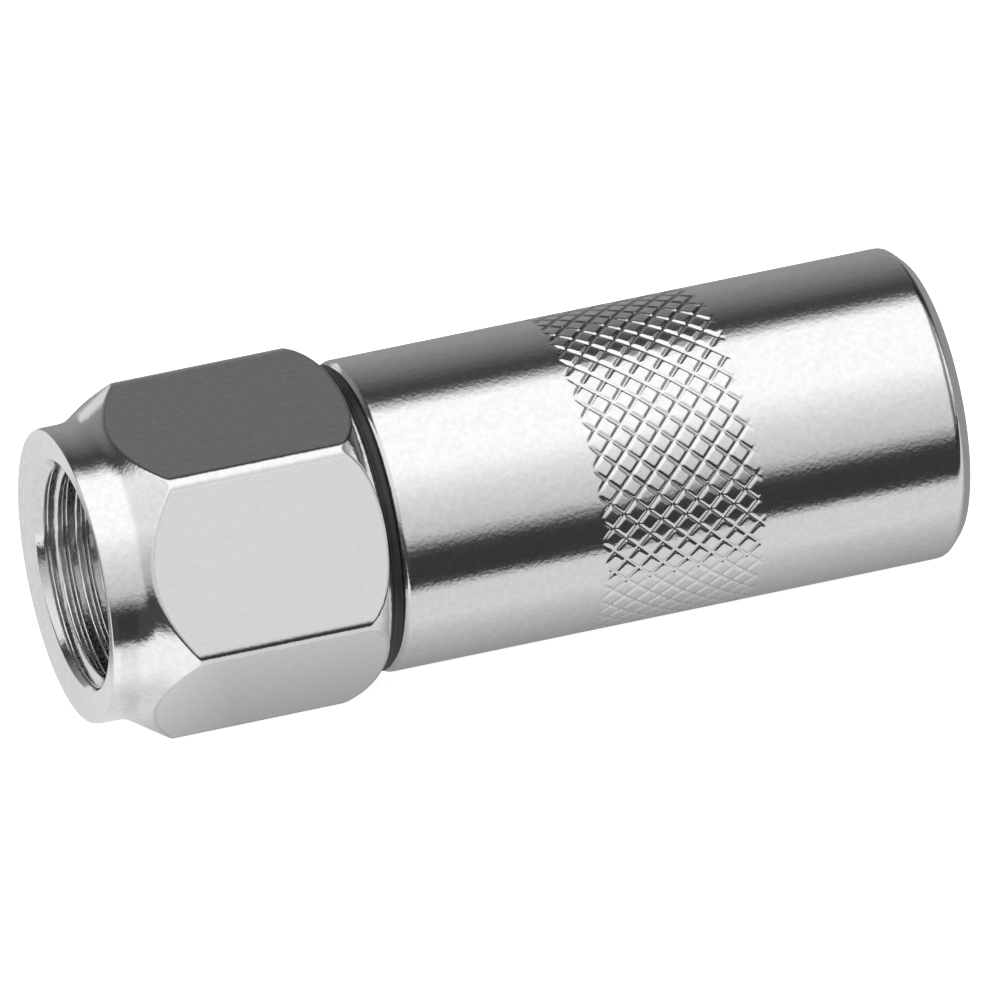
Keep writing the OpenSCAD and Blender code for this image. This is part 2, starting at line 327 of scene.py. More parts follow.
def run_out(wiring, x, start, end, reach):
    """Share that grows from 0 at both ends of a zone to 1, over the given reach."""
    fade_in = wiring.ramp(x, start, wiring.math("ADD", start, reach))
    fade_out = wiring.ramp(x, end, wiring.math("SUBTRACT", end, reach))
    return wiring.math("MULTIPLY", fade_in, fade_out)


def thread_tree():
    """Cuts a 60 degree screw thread into the rows of a turned mesh; Side is 1 in a hole and -1 on a shaft."""
    tree, w, given, result = new_tree(
        "screw_thread",
        [
            ("Geometry", "Geometry"), ("Zone", "String"), ("Pitch", "Float"), ("Depth", "Float"),
            ("Base radius", "Float"), ("Start", "Float"), ("End", "Float"), ("Run-out", "Float"),
            ("Side", "Float"), ("First turn", "Float"), ("Material", "Material"),
        ],
    )
    of = given.outputs
    x, y, z, radius, turn = polar(w)
    turned_by = w.math("ADD", turn, of["First turn"])
    phase = w.math("FRACT", w.math("SUBTRACT", w.math("DIVIDE", x, of["Pitch"]), turned_by))
    # The flats of the crest and the root take a quarter and an eighth of the pitch.
    groove = w.ramp(w.math("ABSOLUTE", w.math("SUBTRACT", phase, 0.5)), 3 / 8, 1 / 16)
    fade = run_out(w, x, of["Start"], of["End"], of["Run-out"])
    cut = w.math("MULTIPLY", w.math("MULTIPLY", of["Depth"], groove), fade)
    wall = w.math("ADD", w.math("MULTIPLY", of["Side"], of["Base radius"]), cut)
    deeper = w.math("MAXIMUM", w.math("MULTIPLY", of["Side"], radius), wall)
    zone = w.add("GeometryNodeInputNamedAttribute", data_type="BOOLEAN")
    w.feed(zone.inputs["Name"], of["Zone"])
    threaded = set_radius(
        w, of["Geometry"], zone.outputs["Attribute"], x, y, z, radius, w.math("MULTIPLY", of["Side"], deeper)
    )
    close_tree(w, threaded, given, result)
    return tree


def knurl_tree():
    """Rolls a diamond knurl with grooves at 45 degrees both ways into a band of a turned mesh."""
    tree, w, given, result = new_tree(
        "diamond_knurl",
        [
            ("Geometry", "Geometry"), ("Grooves", "Int"), ("Radius", "Float"), ("Depth", "Float"),
            ("Width", "Float"), ("Start", "Float"), ("End", "Float"), ("Feather", "Float"),
            ("Material", "Material"),
        ],
    )
    of = given.outputs
    x, y, z, radius, turn = polar(w)
    arc = w.math("DIVIDE", w.math("MULTIPLY", of["Radius"], FULL_TURN), of["Grooves"])
    around = w.math("MULTIPLY", turn, of["Grooves"])
    along = w.math("DIVIDE", x, arc)
    hands = []
    for operation in ("ADD", "SUBTRACT"):
        phase = w.math("FRACT", w.math(operation, around, along))
        off = w.math("MULTIPLY", w.math("ABSOLUTE", w.math("SUBTRACT", phase, 0.5)), arc)
        across = w.math("MULTIPLY", off, math.cos(math.pi / 4))
        hands.append(w.ramp(across, 0.0, w.math("DIVIDE", of["Width"], 2), 1.0, 0.0))
    groove = w.math("MAXIMUM", *hands)
    fade = run_out(w, x, of["Start"], of["End"], of["Feather"])
    pressed = w.math("MULTIPLY", w.math("MULTIPLY", of["Depth"], groove), fade)
    # Only the outer skin is rolled, not the bore.
    skin = w.math("GREATER_THAN", radius, w.math("MULTIPLY", of["Radius"], 0.99))
    rolled = set_radius(w, of["Geometry"], skin, x, y, z, radius, w.math("SUBTRACT", radius, pressed))
    close_tree(w, rolled, given, result)
    return tree


def spring_tree():
    """Winds round wire into a spring about X with closed end turns."""
    tree, w, given, result = new_tree(
        "wound_spring",
        [
            ("Geometry", "Geometry"), ("Radius", "Float"), ("Wire", "Float"), ("Turns", "Int"),
            ("Start", "Float"), ("Length", "Float"), ("Steps per turn", "Int"), ("Sides", "Int"),
            ("Material", "Material"),
        ],
    )
    of = given.outputs
    line = w.add("GeometryNodeCurvePrimitiveLine")
    steps = w.add("GeometryNodeResampleCurve")
    w.feed(steps.inputs["Curve"], line.outputs[0])
    w.feed(steps.inputs["Count"], w.math("ADD", w.math("MULTIPLY", of["Turns"], of["Steps per turn"]), 1))
    turn = w.math("MULTIPLY", w.add("GeometryNodeSplineParameter").outputs["Factor"], of["Turns"])
    # A closed end turn rises by a little more than its wire.
    flat = w.math("MULTIPLY", of["Wire"], 1.06)
    middle = w.math("SUBTRACT", of["Turns"], 2)
    rise = w.math("SUBTRACT", of["Length"], w.math("MULTIPLY", flat, 2))
    first = w.math("MULTIPLY", w.ramp(turn, 0.0, 1.0), flat)
    open_turns = w.math("MULTIPLY", w.ramp(turn, 1.0, w.math("ADD", middle, 1)), rise)
    last = w.math("MULTIPLY", w.ramp(turn, w.math("ADD", middle, 1), of["Turns"]), flat)
    station = w.math("ADD", w.math("ADD", of["Start"], first), w.math("ADD", open_turns, last))
    angle = w.math("MULTIPLY", turn, FULL_TURN)
    place = w.add("ShaderNodeCombineXYZ")
    w.feed(place.inputs[0], station)
    w.feed(place.inputs[1], w.math("MULTIPLY", of["Radius"], w.math("COSINE", angle)))
    w.feed(place.inputs[2], w.math("MULTIPLY", of["Radius"], w.math("SINE", angle)))
    wind = w.add("GeometryNodeSetPosition")
    w.feed(wind.inputs["Geometry"], steps.outputs[0])
    w.feed(wind.inputs["Position"], place.outputs[0])
    section = w.add("GeometryNodeCurvePrimitiveCircle")
    w.feed(section.inputs["Resolution"], of["Sides"])
    w.feed(section.inputs["Radius"], w.math("DIVIDE", of["Wire"], 2))
    wire = w.add("GeometryNodeCurveToMesh")
    w.feed(wire.inputs["Curve"], wind.outputs[0])
    w.feed(wire.inputs["Profile Curve"], section.outputs[0])
    wire.inputs["Fill Caps"].default_value = True
    close_tree(w, wire.outputs[0], given, result)
    return tree


def settle(piece, tree, **values):
    """Runs a geometry tree on a piece with the given inputs and keeps the result as its plain mesh."""
    modifier = piece.modifiers.new(tree.name, "NODES")
    modifier.node_group = tree
    for item in tree.interface.items_tree:
        key = item.name.lower().replace(" ", "_").replace("-", "_")
        if item.in_out == "INPUT" and key in values:
            modifier[item.identifier] = values[key]
    depsgraph = bpy.context.evaluated_depsgraph_get()
    made = bpy.data.meshes.new_from_object(
        piece.evaluated_get(depsgraph), preserve_all_data_layers=True, depsgraph=depsgraph
    )
    if not made.polygons:
        raise RuntimeError(f"{tree.name} made no faces for {piece.name}")
    piece.modifiers.remove(modifier)
    first, piece.data = piece.data, made
    bpy.data.meshes.remove(first)


# Turned shapes


def rounded(points, steps=4):
    """Rows of a closed turned outline from (station, radius, round) points; the numbers may differ by column.

    Each corner is rounded over its own length, or at most a share of its sides, and a guard row just outside
    the round keeps the straights straight.
    """
    count, most, guard = len(points), 0.36, 1.3
    corners = [np.stack(np.broadcast_arrays(*np.atleast_1d(p[0], p[1])), -1).astype(float) for p in points]
    rows = []
    for i, (corner, (_, _, size)) in enumerate(zip(corners, points)):
        if not size:
            rows.append(corner)
            continue
        sides = []
        for other in (corners[i - 1], corners[(i + 1) % count]):
            away = other - corner
            far = np.linalg.norm(away, axis=-1, keepdims=True)
            sides.append((away / far, np.minimum(size, most * far)))
        (back, before), (ahead, after) = sides
        start, stop = corner + back * before, corner + ahead * after
        rows.append(corner + back * before * guard)
        for t in np.linspace(0, 1, steps):
            rows.append((1 - t) ** 2 * start + 2 * t * (1 - t) * corner + t**2 * stop)
        rows.append(corner + ahead * after * guard)
    return rows


def even(columns):
    """Angles of evenly spaced columns."""
    return np.arange(columns) * FULL_TURN / columns


def turned(name, rows, angles, every=lambda row: 1, **marks):
    """Closed mesh of revolution about X from rows of (station, radius), one for all columns or one each.

    A row may keep only every so many columns. Each mark is a boolean point attribute of the rows it lists.
    """
    columns, count = len(angles), len(rows)
    steps = [every(i) for i in range(count)]
    points, first = [], []
    for row, step in zip(rows, steps):
        first.append(len(points))
        station, radius = np.broadcast_to(row, (columns, 2))[::step].T
        points += zip(station, radius * np.cos(angles[::step]), radius * np.sin(angles[::step]))
    faces = []
    for i in range(count):
        k = (i + 1) % count
        wide = max(steps[i], steps[k])
        for j in range(0, columns, wide):
            near = [first[i] + n % columns // steps[i] for n in range(j, j + wide + 1, steps[i])]
            far = [first[k] + n % columns // steps[k] for n in range(j, j + wide + 1, steps[k])]
            faces.append((*near, *reversed(far)))
    mesh = bpy.data.meshes.new(name)
    mesh.from_pydata(points, [], faces)
    for mark, marked in marks.items():
        flags = [i in marked for i in range(count) for _ in range(0, columns, steps[i])]
        mesh.attributes.new(mark, "BOOLEAN", "POINT").data.foreach_set("value", flags)
    return outward(mesh)


def outward(mesh):
    """Points the faces out and shades them smooth."""
    shape = bmesh.new()
    shape.from_mesh(mesh)
    bmesh.ops.recalc_face_normals(shape, faces=shape.faces)
    shape.to_mesh(mesh)
    shape.free()
    mesh.shade_smooth()
    return mesh


def new_piece(mesh, material=None):
    """Links a mesh to the scene as a piece at the origin."""
    piece = bpy.data.objects.new(mesh.name, mesh)
    bpy.context.scene.collection.objects.link(piece)
    if material:
        mesh.materials.append(material)
    return piece


def fix(piece, body, slot, *nodes):
    """Sets a finished piece on its body, in place of its CAD nodes."""
    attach(piece, body)
    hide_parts(*nodes)


# Finishes


def surface(name, shade, metallic, roughness):
    """New material with its wiring, Object coordinates and Principled shader."""
    material = bpy.data.materials.new(name)
    material.use_nodes = True
    wiring = Wiring(material.node_tree)
    shader = material.node_tree.nodes["Principled BSDF"]
    shader.inputs["Base Color"].default_value = (*shade, 1)
    shader.inputs["Metallic"].default_value = metallic
    shader.inputs["Roughness"].default_value = roughness
    place = wiring.add("ShaderNodeTexCoord").outputs["Object"]
    return material, wiring, shader, place


def noise(wiring, place, grain, detail=2.0, stretch=(1, 1, 1)):
    """Noise whose grains are about the given size across, drawn out along the axes."""
    mapping = wiring.add("ShaderNodeMapping")
    mapping.inputs["Scale"].default_value = [1 / (grain * s) for s in stretch]
    wiring.feed(mapping.inputs["Vector"], place)
    texture = wiring.add("ShaderNodeTexNoise")
    texture.inputs["Scale"].default_value = 1.0
    texture.inputs["Detail"].default_value = detail
    wiring.feed(texture.inputs["Vector"], mapping.outputs[0])
    return texture.outputs[0]


def tool_marks(wiring, place, feed):
    """Fine rings left by a turning tool, as bands along the axis."""
    wave = wiring.add("ShaderNodeTexWave", wave_type="BANDS", bands_direction="X", wave_profile="SAW")
    # The texture's phase is 20 times its scaled coordinate.
    wave.inputs["Scale"].default_value = FULL_TURN / (20 * feed)
    wave.inputs["Distortion"].default_value = 0.6
    wave.inputs["Detail"].default_value = 1.0
    wiring.feed(wave.inputs["Vector"], place)
    return wave.outputs["Fac"]


def bump(wiring, shader, *heights):
    """Chains (height, depth) pairs into the shader's normal."""
    last = None
    for height, depth in heights:
        node = wiring.add("ShaderNodeBump")
        node.inputs["Distance"].default_value = depth
        wiring.feed(node.inputs["Height"], height)
        if last:
            wiring.feed(node.inputs["Normal"], last)
        last = node.outputs[0]
    wiring.feed(shader.inputs["Normal"], last)


def vary(wiring, shader, place, shade, roughness, grain, tone, gloss):
    """Lets colour and roughness drift a little over the surface."""
    drift = noise(wiring, place, grain, 4.0)
    mix = wiring.add("ShaderNodeMix", data_type="RGBA")
    wiring.feed(mix.inputs["Factor"], wiring.ramp(drift, 0.35, 0.65))
    wiring.feed(mix.inputs["A"], (*[s * (1 - tone) for s in shade], 1))
    wiring.feed(mix.inputs["B"], (*[min(1, s * (1 + tone)) for s in shade], 1))
    wiring.feed(shader.inputs["Base Color"], mix.outputs["Result"])
    rough = wiring.ramp(drift, 0.3, 0.7, roughness * (1 - gloss), roughness * (1 + gloss))
    wiring.feed(shader.inputs["Roughness"], rough)


def plated(name, shade, roughness, grain_depth, wave_depth):
    """Nickel plate over machined steel: fine grain from the plating on a slightly uneven ground surface."""
    material, w, shader, place = surface(name, shade, 1.0, roughness)
    vary(w, shader, place, shade, roughness, 0.3 * MM, 0.04, 0.1)
    bump(
        w, shader,
        (noise(w, place, 1.2 * MM, 1.0, (2, 1, 1)), wave_depth),
        (noise(w, place, 0.2 * MM, 3.0), grain_depth),
    )
    return material


def moulded_rubber(name, grain, depth):
    """Black rubber with a fine matt grain."""
    shade = bpy.context.scene.coupler_finish.rubber
    material, w, shader, place = surface(name, shade, 0.0, 0.42)
    vary(w, shader, place, shade, 0.42, 0.8 * MM, 0.3, 0.2)
    bump(w, shader, (noise(w, place, grain, 3.0), depth))
    return material


def machined(name, shade, roughness, feed, depth):
    """Bare metal with turning rings and a little uneven oil."""
    material, w, shader, place = surface(name, shade, 1.0, roughness)
    vary(w, shader, place, shade, roughness, 1.0 * MM, 0.12, 0.35)
    bump(w, shader, (tool_marks(w, place, feed), depth), (noise(w, place, 0.1 * MM), depth / 4))
    return material


def drawn_wire(name, shade):
    """Spring wire with fine draw lines."""
    material, w, shader, place = surface(name, shade, 1.0, 0.3)
    vary(w, shader, place, shade, 0.3, 0.4 * MM, 0.15, 0.3)
    bump(w, shader, (noise(w, place, 0.06 * MM, 2.0, (1, 4, 4)), 0.8e-6))
    return material


def polished(name, shade):
    """Bearing steel polished bright."""
    material, w, shader, place = surface(name, shade, 1.0, 0.07)
    vary(w, shader, place, shade, 0.07, 0.5 * MM, 0.03, 0.4)
    bump(w, shader, (noise(w, place, 0.1 * MM), 0.1e-6))
    return material


# Operators, one for each piece or group of like pieces


class COUPLER_OT_hex_adapter(bpy.types.Operator):
    """Hex body with its inlet thread, valve seat and the threaded spigot for the sleeve"""

    bl_idname = "coupler.hex_adapter"
    bl_label = "Hex adapter"

    def execute(self, context):
        s = context.scene.coupler_adapter
        half = s.flats / 2
        centre = (half - s.corner) / math.cos(TWELFTH)
        tangent = math.atan((half - s.corner) * math.tan(TWELFTH) / half)
        flat = np.radians(np.arange(-27, 28, 3))
        arc = np.linspace(tangent, SIXTH - tangent, 7)
        sector = np.concatenate([flat, arc])
        angles = np.concatenate([sector + TWELFTH + k * SIXTH for k in range(6)])
        aside = TWELFTH - np.abs(sector - np.round(sector / SIXTH) * SIXTH)
        on_arc = centre * np.cos(aside) + np.sqrt(np.maximum(s.corner**2 - (centre * np.sin(aside)) ** 2, 0))
        on_flat = half / np.cos(TWELFTH - aside)
        hexagon = np.tile(np.where(TWELFTH - aside <= tangent, on_flat, on_arc), 6)
        cone_end = s.neck_end + (hexagon - s.neck) / math.tan(s.front_slope)
        tip = half / math.cos(TWELFTH)
        round_end = math.acos((s.back - tip + s.rear_round) / s.rear_round)
        round_centre = s.hex_end - s.rear_round * math.sin(round_end)
        chamfer = 0.5 * MM
        edge, soft = 0.1 * MM, 0.05 * MM
        seat_end = s.seat_start + s.chamber - s.seat
        drill_end = s.thread_end + (s.minor - s.seat) / math.tan(DRILL_POINT)
        spigot_thread = (s.hex_end + 0.6 * MM, s.spigot_end - chamfer)
        step = s.pitch / 24
        outside = [
            (s.dish_depth, s.countersink, 0.12 * MM),
            (0, s.dish, soft),
            (0, s.rim, soft),
            (s.rim_chamfer, s.neck, 0.08 * MM),
            (s.neck_end, s.neck, 0.45 * MM),
            (cone_end, hexagon, edge),
        ]
        for share in np.linspace(1, 0, 8):
            radius = s.back + (hexagon - s.back) * share
            reach = np.sqrt(s.rear_round**2 - (radius - tip + s.rear_round) ** 2)
            outside.append((round_centre + reach, radius, edge if share in (0, 1) else 0))
        outside.append((s.hex_end, s.spigot, soft))
        spigot = [(x, s.spigot, 0) for x in np.arange(*spigot_thread, 1.2 * step)]
        inside = [
            (s.spigot_end - chamfer, s.spigot, soft),
            (s.spigot_end, s.spigot - chamfer, soft),
            (s.spigot_end, s.chamber, edge),
            (seat_end, s.chamber, soft),
            (s.seat_start, s.seat, soft),
            (drill_end, s.seat, soft),
            (s.thread_end, s.minor, soft),
        ]
        stations = np.arange(s.thread_end - 0.2 * MM, s.dish_depth + 0.1 * MM, -step)
        drop = math.tan(s.countersink_slope)
        inlet = [(x, max(s.minor, s.countersink - (x - s.dish_depth) * drop), 0) for x in stations]
        front = rounded(inlet[-1:] + outside + spigot[:1])[1:-1]
        after = rounded(spigot[-1:] + inside + inlet[:1])[1:-1]
        rows = front + rounded(spigot) + after + rounded(inlet)
        shaft = range(len(front), len(front) + len(spigot))
        hole = range(len(rows) - len(inlet), len(rows))
        finish = context.scene.coupler_finish
        bright = plated("plated_hex", finish.plate, finish.plate_gloss, 7e-6, 4e-6)
        satin = plated("plated_hex_flats", finish.satin, finish.satin_gloss, 5e-6, 0.6e-6)
        piece = new_piece(turned("adapter_body", rows, angles, spigot_thread=shaft, inlet_thread=hole))
        cut = thread_tree()
        inlet_stop, spigot_stop = s.thread_end - 0.3 * MM, s.spigot_end + s.screw_pitch
        threads = (
            ("inlet_thread", s.pitch, s.minor, -s.pitch, inlet_stop, 1.0, s.thread_turn),
            ("spigot_thread", s.screw_pitch, s.spigot, spigot_thread[0], spigot_stop, -1.0, 0.0),
        )
        for zone, pitch, base, start, end, side, first_turn in threads:
            settle(
                piece, cut, zone=zone, pitch=pitch, depth=THREAD_DEPTH * pitch, base_radius=base, start=start,
                end=end, run_out=pitch, side=side, first_turn=first_turn, material=bright,
            )
        self.paint_flats(piece.data, satin, half)
        fix(piece, "adapter", "plated_hex", "hex_adapter")
        return {"FINISHED"}

    def paint_flats(self, mesh, satin, half):
        """Gives the six flats their satin finish."""
        mesh.materials.append(satin)
        for face in mesh.polygons:
            around = math.atan2(face.normal.z, face.normal.y)
            off = (around - TWELFTH) % SIXTH
            level = math.hypot(face.center.y, face.center.z) * math.cos(min(off, SIXTH - off))
            flat = abs(face.normal.x) < 0.02 and min(off, SIXTH - off) < 0.01
            if flat and level > half - 0.02 * MM and face.area > (0.2 * MM) ** 2:
                face.material_index = 1


class COUPLER_OT_collar_ring(bpy.types.Operator):
    """Black ring in the gap between the hex and the sleeve"""

    bl_idname = "coupler.collar_ring"
    bl_label = "Collar ring"

    def execute(self, context):
        start, end, outer = span("collar_seal")
        inner = context.scene.coupler_adapter.spigot + context.scene.coupler_grip.fit
        middle = (start + end) / 2
        dip = 0.06 * MM
        points = [
            (start, inner, 0.05 * MM),
            (start, outer, 0.16 * MM),
            (middle, outer - dip, 0.05 * MM),
            (end, outer, 0.16 * MM),
            (end, inner, 0.05 * MM),
        ]
        mesh = turned("collar_ring", rounded(points, 6), even(180))
        black = moulded_rubber("black_rubber", 0.08 * MM, 1.5e-6)
        fix(new_piece(mesh, black), "collar", "black_rubber", "collar_seal")
        return {"FINISHED"}


class COUPLER_OT_knurled_sleeve(bpy.types.Operator):
    """Plated outer sleeve with its knurl band, piston bore and closing taper"""

    bl_idname = "coupler.knurled_sleeve"
    bl_label = "Knurled sleeve"

    def execute(self, context):
        s, finish = context.scene.coupler_sleeve, context.scene.coupler_finish
        columns = s.grooves * s.cells
        cell = FULL_TURN * s.radius / columns
        entry, bevel = 0.4 * MM, 0.3 * MM
        taper_end = s.end - s.mouth_length
        taper_start = taper_end - (s.bore - s.mouth) / math.tan(s.taper)
        band = np.arange(math.floor(s.knurl_start / cell) - 1, math.ceil(s.knurl_end / cell) + 2) * cell
        points = [
            (s.start, s.nut + entry, 0.1 * MM),
            (s.start, s.radius - s.back_chamfer, 0.08 * MM),
            (s.start + s.back_chamfer, s.radius, 0.12 * MM),
            *[(x, s.radius, 0) for x in band],
            (s.end - s.front_chamfer, s.radius, 0.2 * MM),
            (s.end, s.radius - s.front_chamfer, 0.2 * MM),
            (s.end, s.mouth + bevel, 0.1 * MM),
            (s.end - bevel, s.mouth, 0.1 * MM),
            (taper_end, s.mouth, 0.05 * MM),
            (taper_start, s.bore, 0.2 * MM),
            (s.nut_end + s.nut - s.bore, s.bore, 0.05 * MM),
            (s.nut_end, s.nut, 0.05 * MM),
            (s.start + entry, s.nut, 0.05 * MM),
        ]
        rows = rounded(points)
        rolled = [
            i for i, row in enumerate(rows) if row[0, 1] == s.radius and band[0] <= row[0, 0] <= band[-1]
        ]
        piece = new_piece(turned("sleeve_shell", rows, even(columns), lambda row: 1 if row in rolled else 4))
        settle(
            piece, knurl_tree(), grooves=s.grooves, radius=s.radius, depth=s.knurl_depth, width=s.knurl_width,
            start=s.knurl_start, end=s.knurl_end, feather=s.feather,
            material=plated("plated_sleeve", finish.plate, finish.plate_gloss, 7e-6, 3e-6),
        )
        fix(piece, "sleeve", "plated_sleeve", "knurled_sleeve")
        return {"FINISHED"}


class COUPLER_OT_jaws(bpy.types.Operator):
    """Four quarter jaws that close on the nipple in the sleeve's taper"""

    bl_idname = "coupler.jaws"
    bl_label = "Jaws"

    def execute(self, context):
        s, sleeve = context.scene.coupler_grip, context.scene.coupler_sleeve
        back, front, _ = span("jaw_1")
        rise = math.tan(sleeve.taper)
        gap = s.fit / math.cos(sleeve.taper)
        taper_end = sleeve.end - sleeve.mouth_length
        shank = sleeve.bore - travel("piston_push") * rise - s.fit
        shank_end = taper_end - (shank + gap - sleeve.mouth) / rise
        front_radius = sleeve.mouth - gap - (front - taper_end) * rise
        lip_start = front - s.lead_in - s.lip
        soft = 0.08 * MM
        points = [
            (back, s.pocket, soft),
            (back, shank, 0.15 * MM),
            (shank_end, shank, soft),
            (front, front_radius, soft),
            (front, s.grip + s.lead_in, soft),
            (front - s.lead_in, s.grip, soft),
            (lip_start, s.grip, soft),
            (lip_start - (s.pocket - s.grip), s.pocket, soft),
        ]
        outline = np.concatenate(rounded(points))
        finish = context.scene.coupler_finish
        steel = machined("jaw_steel", finish.jaw, 0.3, 0.12 * MM, 1.5e-6)
        for k in range(4):
            mesh = self.quarter(f"gripping_jaw_{k + 1}", outline, s.slit / 2, k * math.pi / 2)
            fix(new_piece(mesh, steel), f"jaw_{k + 1}", "jaw_steel", f"jaw_{k + 1}")
        return {"FINISHED"}

    def quarter(self, name, outline, gap, turn, columns=28):
        """Quarter of a turned ring with parallel slit walls and broken edges."""
        points, quads, count = [], [], len(outline)
        ends = np.arcsin(gap / outline[:, 1])
        for j in range(columns):
            angles = turn + ends + (math.pi / 2 - 2 * ends) * j / (columns - 1)
            radii = outline[:, 1]
            points += zip(outline[:, 0], radii * np.cos(angles), radii * np.sin(angles))
        for j in range(columns - 1):
            for i in range(count):
                k = (i + 1) % count
                quads.append((j * count + i, j * count + k, (j + 1) * count + k, (j + 1) * count + i))
        walls = [range(count), range((columns - 1) * count, columns * count)]
        mesh = bpy.data.meshes.new(name)
        mesh.from_pydata(points, [], quads + [tuple(wall) for wall in walls])
        shape = bmesh.new()
        shape.from_mesh(mesh)
        bmesh.ops.recalc_face_normals(shape, faces=shape.faces)
        shape.faces.ensure_lookup_table()
        rims = [edge for face in shape.faces[-2:] for edge in face.edges]
        bmesh.ops.bevel(shape, geom=rims, offset=0.05 * MM, segments=2, affect="EDGES", profile=0.6)
        shape.to_mesh(mesh)
        shape.free()
        for face in mesh.polygons:
            face.use_smooth = len(face.vertices) < 6
        return mesh


class COUPLER_OT_piston(bpy.types.Operator):
    """Sliding piston with its rubber ring, and the rubber face seal on its brass washer"""

    bl_idname = "coupler.piston"
    bl_label = "Piston and seals"

    def execute(self, context):
        s, finish = context.scene.coupler_grip, context.scene.coupler_finish
        start, nose_end, outer = span("seal_piston")
        washer_start, washer_end, cup = span("seal_washer")
        body_start = start + s.guide_length
        ring_start, ring_end, _ = span("piston_o_ring")
        ring = (ring_start + ring_end) / 2
        room = 1.75 * s.ring_wire
        soft = 0.08 * MM
        piston = [
            (start, s.passage, soft),
            (start, s.guide, 0.25 * MM),
            (body_start, s.guide, 0.15 * MM),
            (body_start, outer, 0.15 * MM),
            (ring - room, outer, soft),
            (ring - room, s.ring_floor, soft),
            (ring + room, s.ring_floor, soft),
            (ring + room, outer, soft),
            (washer_end, outer, 0.15 * MM),
            (washer_end, s.nose, soft),
            (nose_end, s.nose, 0.15 * MM),
            (nose_end, cup, soft),
            (washer_start, cup, 0),
            (washer_start, s.passage, soft),
        ]
        steel = machined("turned_steel", finish.steel, 0.28, 0.1 * MM, 1.2e-6)
        self.make("piston_body", piston, steel, "turned_steel", "seal_piston")
        middle = s.ring_floor + s.ring_wire + 0.02 * MM
        section = [
            (ring + s.ring_wire * math.cos(a), middle + s.ring_wire * math.sin(a), 0) for a in even(24)
        ]
        black = moulded_rubber("ring_rubber", 0.06 * MM, 1e-6)
        self.make("piston_ring", section, black, "black_rubber", "piston_o_ring")
        seal_start, seal_end, seal = span("nipple_seal")
        stand = seal_end - nose_end
        face = [
            (seal_start, s.passage, soft),
            (seal_start, seal, soft),
            (nose_end, seal, 0.12 * MM),
            (seal_end, seal - stand, 0.16 * MM),
            (seal_end, seal - stand - 0.3 * MM, 0.12 * MM),
            (seal_end - 2 * stand, s.passage, 0.12 * MM),
        ]
        matt = moulded_rubber("seal_rubber", 0.05 * MM, 2.5e-6)
        self.make("face_seal", face, matt, "seal_rubber", "nipple_seal")
        washer = [
            (washer_start, s.passage, soft),
            (washer_start, seal, soft),
            (washer_end, seal, soft),
            (washer_end, s.passage, soft),
        ]
        brass = machined("washer_brass", finish.brass, 0.3, 0.1 * MM, 1.2e-6)
        self.make("backing_washer", washer, brass, "brass", "seal_washer")
        return {"FINISHED"}

    def make(self, name, points, material, slot, node):
        """Turned piece that rides on the piston."""
        fix(new_piece(turned(name, rounded(points), even(120)), material), "piston", slot, node)


class COUPLER_OT_springs(bpy.types.Operator):
    """Piston spring and check spring"""

    bl_idname = "coupler.springs"
    bl_label = "Springs"

    def execute(self, context):
        s = context.scene.coupler_grip
        steel = drawn_wire("spring_wire", context.scene.coupler_finish.wire)
        tree = spring_tree()
        seat = context.scene.coupler_adapter.spigot_end
        rest = span("valve_retainer")[0]
        for name, node, wire, joint, fixed in (
            ("piston_coil", "piston_spring", s.spring_wire, "piston_push", seat),
            ("check_coil", "check_spring", s.check_wire, "ball_lift", rest),
        ):
            low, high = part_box(node)
            piece = new_piece(bpy.data.meshes.new(name))
            settle(
                piece, tree, radius=high.y - wire / 2, wire=wire, turns=s.turns, start=low.x + wire / 2,
                length=high.x - low.x - wire, steps_per_turn=48, sides=16, material=steel,
            )
            fix(piece, "adapter", "spring_wire", node)
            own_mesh(piece)
        return {"FINISHED"}


class COUPLER_OT_check_valve(bpy.types.Operator):
    """Check ball on its seat and the pressed brass ring that backs its spring"""

    bl_idname = "coupler.check_valve"
    bl_label = "Check valve"

    def execute(self, context):
        s, finish = context.scene.coupler_grip, context.scene.coupler_finish
        low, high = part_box("check_ball")
        mesh = bpy.data.meshes.new("valve_ball")
        shape = bmesh.new()
        middle = Matrix.Translation((low + high) / 2)
        bmesh.ops.create_icosphere(shape, subdivisions=5, radius=(high.x - low.x) / 2, matrix=middle)
        shape.to_mesh(mesh)
        shape.free()
        mesh.shade_smooth()
        fix(new_piece(mesh, polished("ball_steel", finish.ball)), "ball", "ball_steel", "check_ball")
        start, end, outer = span("valve_retainer")
        soft = 0.08 * MM
        points = [
            (start, s.retainer_hole, soft),
            (start, outer, soft),
            (end, outer, 0.2 * MM),
            (end, s.retainer_hole, soft),
        ]
        brass = machined("retainer_brass", finish.brass, 0.3, 0.1 * MM, 1.2e-6)
        ring = new_piece(turned("retainer_ring", rounded(points), even(96)), brass)
        fix(ring, "adapter", "brass", "valve_retainer")
        return {"FINISHED"}


